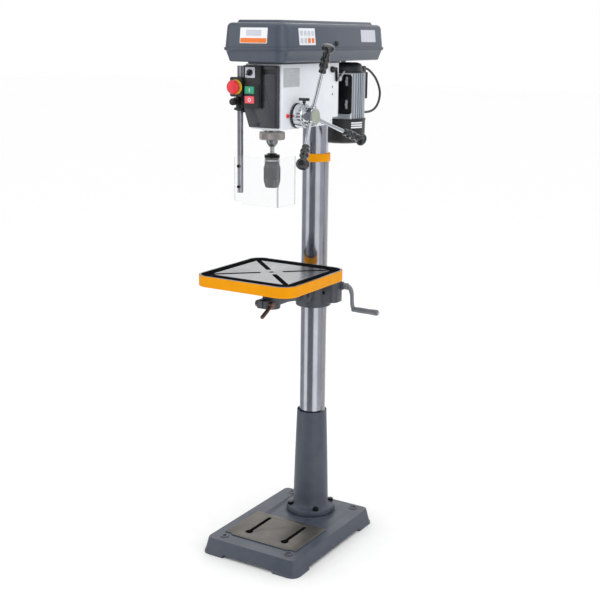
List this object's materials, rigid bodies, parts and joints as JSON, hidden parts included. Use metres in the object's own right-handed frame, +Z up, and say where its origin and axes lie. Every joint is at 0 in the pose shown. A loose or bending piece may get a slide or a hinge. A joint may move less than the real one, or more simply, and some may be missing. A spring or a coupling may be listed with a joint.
{
  "type": "pillar drill",
  "caption": "Floor standing pillar drill with a column, a tilting lift table, a quill fed by a spoked hub, a chuck with a clear guard and a belt drive from a motor.",
  "frame": {"origin": "the column's axis at floor level, on the base's underside", "axes": "+Z up along the column, -Y from the column to the spindle and the operator, +X to the operator's right, where the feed handles are"},
  "size_m": [0.4007, 0.7948, 1.6205],
  "materials": {
    "base_paint": "satin grey-blue enamel",
    "cover_paint": "satin grey-blue enamel",
    "white_paint": "satin white enamel",
    "orange_paint": "satin orange-yellow enamel",
    "bracket_paint": "satin dark grey enamel",
    "ground_steel": "ground and polished",
    "machined_steel": "machined",
    "dark_steel": "black oxide",
    "knurled_steel": "knurled",
    "chrome": "bright chrome",
    "cast_aluminium": "as cast",
    "rod_aluminium": "anodised",
    "black_plastic": "fine texture",
    "cover_plastic": "fine texture",
    "green_plastic": "smooth",
    "red_plastic": "smooth",
    "clear_plastic": "clear sheet",
    "belt_rubber": "matt",
    "lead_rubber": "matt",
    "plate_metal": "brushed"
  },
  "bodies": {
    "stand": {"base_plate": "base_paint", "column_foot": "base_paint", "foot_bolts": "dark_steel", "column": "ground_steel", "rack_ring": "orange_paint", "head_casting": "white_paint", "front_cover": "cover_plastic", "head_fittings": "dark_steel", "control_box": "black_plastic", "plates": "plate_metal", "guard_bracket": "black_plastic", "depth_pointer": "red_plastic", "return_spring": "dark_steel", "idler_arm": "dark_steel", "v_belts": "belt_rubber", "belt_tray": "cover_paint"},
    "rack": {"lift_rack": "dark_steel"},
    "bracket": {"table_bracket": "bracket_paint"},
    "column_clamp": {"column_lock": "dark_steel"},
    "lift_pinion": {"lift_gear": "machined_steel"},
    "crank_arm": {"crank": "cast_aluminium"},
    "crank_handle": {"crank_grip": "machined_steel"},
    "tilt_arm": {"table_arm": "bracket_paint"},
    "table_clamp": {"table_lock": "dark_steel"},
    "table": {"work_table": "orange_paint"},
    "selector": {"selector_knob": "black_plastic"},
    "start": {"start_button": "green_plastic"},
    "stop": {"stop_button": "red_plastic"},
    "estop": {"estop_button": "red_plastic"},
    "guard_collar": {"guard_swivel": "black_plastic"},
    "guard_screw": {"guard_knob": "black_plastic"},
    "guard": {"guard_rod": "rod_aluminium", "chuck_guard": "clear_plastic"},
    "quill_slide": {"quill": "ground_steel", "quill_cap": "knurled_steel"},
    "spindle_chuck": {"spindle": "ground_steel", "chuck_body": "dark_steel"},
    "chuck_shell": {"chuck_sleeve": "knurled_steel"},
    "jaw_a": {"jaw_1": "machined_steel"},
    "jaw_b": {"jaw_2": "machined_steel"},
    "jaw_c": {"jaw_3": "machined_steel"},
    "feed": {"feed_pinion": "machined_steel", "feed_hub": "chrome", "feed_grips": "black_plastic"},
    "depth_stop": {"depth_ring": "dark_steel"},
    "depth_screw": {"depth_lock": "black_plastic"},
    "front_pulley": {"spindle_pulley": "cast_aluminium"},
    "middle_pulley": {"idler_pulley": "cast_aluminium"},
    "lid": {"belt_lid": "cover_paint"},
    "lid_latch": {"lid_knob": "black_plastic"},
    "motor": {"slide_bars": "ground_steel", "motor_plate": "dark_steel", "motor_body": "cast_aluminium", "motor_ends": "black_plastic", "terminal_box": "black_plastic", "motor_lead": "lead_rubber"},
    "rotor": {"motor_rotor": "machined_steel", "motor_pulley": "cast_aluminium"},
    "tension": {"tension_lever": "dark_steel"},
    "bar_clamp": {"bar_lock": "machined_steel"}
  },
  "joints": [
    {"name": "table_swing", "type": "hinge", "parent": "stand", "child": "rack", "pos_m": [0, 0, 0.79], "axis": [0, 0, -1], "range_deg": [-180, 180]},
    {"name": "table_lift", "type": "slide", "parent": "rack", "child": "bracket", "axis": [0, 0, 1], "range_m": [-0.32, 0.2]},
    {"name": "column_lock_turn", "type": "hinge", "parent": "bracket", "child": "column_clamp", "pos_m": [0, 0.07, 0.79], "axis": [1, 0, 0], "range_deg": [0, 90]},
    {"name": "lift_gear_turn", "type": "hinge", "parent": "bracket", "child": "lift_pinion", "pos_m": [0.05375, 0, 0.797], "axis": [0, 1, 0], "range_deg": [-1150, 1840]},
    {"name": "crank_turn", "type": "hinge", "parent": "bracket", "child": "crank_arm", "pos_m": [0.1, 0.016, 0.817], "axis": [1, 0, 0], "range_deg": [-11010, 6880]},
    {"name": "crank_grip_spin", "type": "hinge", "parent": "crank_arm", "child": "crank_handle", "pos_m": [0.18, 0.016, 0.747], "axis": [1, 0, 0], "continuous": true},
    {"name": "table_tilt", "type": "hinge", "parent": "bracket", "child": "tilt_arm", "pos_m": [0, -0.07, 0.8], "axis": [0, -1, 0], "range_deg": [-45, 45]},
    {"name": "table_lock_turn", "type": "hinge", "parent": "tilt_arm", "child": "table_clamp", "pos_m": [0, -0.279, 0.804], "axis": [1, 0, 0], "range_deg": [-45, 60]},
    {"name": "table_turn", "type": "hinge", "parent": "tilt_arm", "child": "table", "pos_m": [0, -0.244, 0.85], "axis": [0, 0, 1], "range_deg": [-18, 18]},
    {"name": "guard_swing", "type": "hinge", "parent": "stand", "child": "guard_collar", "pos_m": [-0.08, -0.29, 1.395], "axis": [0, 0, -1], "range_deg": [0, 100]},
    {"name": "guard_knob_turn", "type": "hinge", "parent": "guard_collar", "child": "guard_screw", "pos_m": [-0.08, -0.315, 1.394], "axis": [0, 1, 0], "range_deg": [-360, 0]},
    {"name": "guard_slide", "type": "slide", "parent": "guard_collar", "child": "guard", "axis": [0, 0, -1], "range_m": [0, 0.045]},
    {"name": "quill_feed", "type": "slide", "parent": "stand", "child": "quill_slide", "axis": [0, 0, -1], "range_m": [0, 0.08], "stiffness_N_per_m": 600, "springref_m": -0.12},
    {"name": "feed_turn", "type": "hinge", "parent": "stand", "child": "feed", "pos_m": [0, -0.214, 1.3555], "axis": [1, 0, 0], "range_deg": [0, 334]},
    {"name": "depth_ring_turn", "type": "hinge", "parent": "feed", "child": "depth_stop", "pos_m": [0, -0.214, 1.3555], "axis": [1, 0, 0], "range_deg": [-330, 0]},
    {"name": "depth_lock_turn", "type": "hinge", "parent": "feed", "child": "depth_screw", "pos_m": [0.0883, -0.214, 1.4], "axis": [0, 0, 1], "range_deg": [0, 180]},
    {"name": "motor_spin", "type": "hinge", "parent": "motor", "child": "rotor", "pos_m": [0, 0.165, 1.4], "axis": [0, 0, 1], "continuous": true},
    {"name": "idler_spin", "type": "hinge", "parent": "stand", "child": "middle_pulley", "pos_m": [0, -0.055, 1.54], "axis": [0, 0, 1], "continuous": true},
    {"name": "pulley_spin", "type": "hinge", "parent": "stand", "child": "front_pulley", "pos_m": [0, -0.244, 1.54], "axis": [0, 0, 1], "continuous": true},
    {"name": "spindle_spin", "type": "hinge", "parent": "quill_slide", "child": "spindle_chuck", "pos_m": [0, -0.244, 1.4], "axis": [0, 0, 1], "continuous": true},
    {"name": "chuck_sleeve_turn", "type": "hinge", "parent": "spindle_chuck", "child": "chuck_shell", "pos_m": [0, -0.244, 1.19], "axis": [0, 0, 1], "range_deg": [0, 1080]},
    {"name": "jaw_a_slide", "type": "slide", "parent": "spindle_chuck", "child": "jaw_a", "axis": [0, -0.2756, -0.9613], "range_m": [0, 0.022]},
    {"name": "jaw_b_slide", "type": "slide", "parent": "spindle_chuck", "child": "jaw_b", "axis": [0.2387, 0.1378, -0.9613], "range_m": [0, 0.022]},
    {"name": "jaw_c_slide", "type": "slide", "parent": "spindle_chuck", "child": "jaw_c", "axis": [-0.2387, 0.1378, -0.9613], "range_m": [0, 0.022]},
    {"name": "selector_turn", "type": "hinge", "parent": "stand", "child": "selector", "pos_m": [-0.0305, -0.31, 1.4765], "axis": [0, 1, 0], "range_deg": [0, 90]},
    {"name": "start_push", "type": "slide", "parent": "stand", "child": "start", "axis": [0, 1, 0], "range_m": [0, 0.003], "stiffness_N_per_m": 800, "springref_m": -0.004},
    {"name": "stop_push", "type": "slide", "parent": "stand", "child": "stop", "axis": [0, 1, 0], "range_m": [0, 0.003], "stiffness_N_per_m": 800, "springref_m": -0.004},
    {"name": "estop_push", "type": "slide", "parent": "stand", "child": "estop", "axis": [0, 1, 0], "range_m": [0, 0.005], "stiffness_N_per_m": 1200, "springref_m": -0.006},
    {"name": "lid_open", "type": "hinge", "parent": "stand", "child": "lid", "pos_m": [-0.113, -0.05, 1.541], "axis": [0, -1, 0], "range_deg": [0, 80]},
    {"name": "lid_knob_turn", "type": "hinge", "parent": "lid", "child": "lid_latch", "pos_m": [0.1, -0.062, 1.557], "axis": [1, 0, 0], "range_deg": [0, 90]},
    {"name": "motor_tension", "type": "slide", "parent": "stand", "child": "motor", "axis": [0, -1, 0], "range_m": [0, 0.01]},
    {"name": "tension_lever_turn", "type": "hinge", "parent": "stand", "child": "tension", "pos_m": [0.066, -0.015, 1.481], "axis": [1, 0, 0], "range_deg": [-76, 0]},
    {"name": "bar_lock_turn", "type": "hinge", "parent": "stand", "child": "bar_clamp", "pos_m": [0.066, 0.026, 1.453], "axis": [1, 0, 0], "range_deg": [-90, 0]}
  ],
  "couplings": [
    {"joint": "lift_gear_turn", "follows": "table_lift", "rad_per_m": -100},
    {"joint": "crank_turn", "follows": "table_lift", "rad_per_m": 600},
    {"joint": "feed_turn", "follows": "quill_feed", "rad_per_m": 72.727},
    {"joint": "idler_spin", "follows": "motor_spin", "ratio": 0.53125},
    {"joint": "pulley_spin", "follows": "motor_spin", "ratio": 0.28223},
    {"joint": "spindle_spin", "follows": "motor_spin", "ratio": 0.28223},
    {"joint": "jaw_a_slide", "follows": "chuck_sleeve_turn", "m_per_rad": 0.0011671},
    {"joint": "jaw_b_slide", "follows": "chuck_sleeve_turn", "m_per_rad": 0.0011671},
    {"joint": "jaw_c_slide", "follows": "chuck_sleeve_turn", "m_per_rad": 0.0011671},
    {"joint": "tension_lever_turn", "follows": "motor_tension", "rad_per_m": -131}
  ]
}
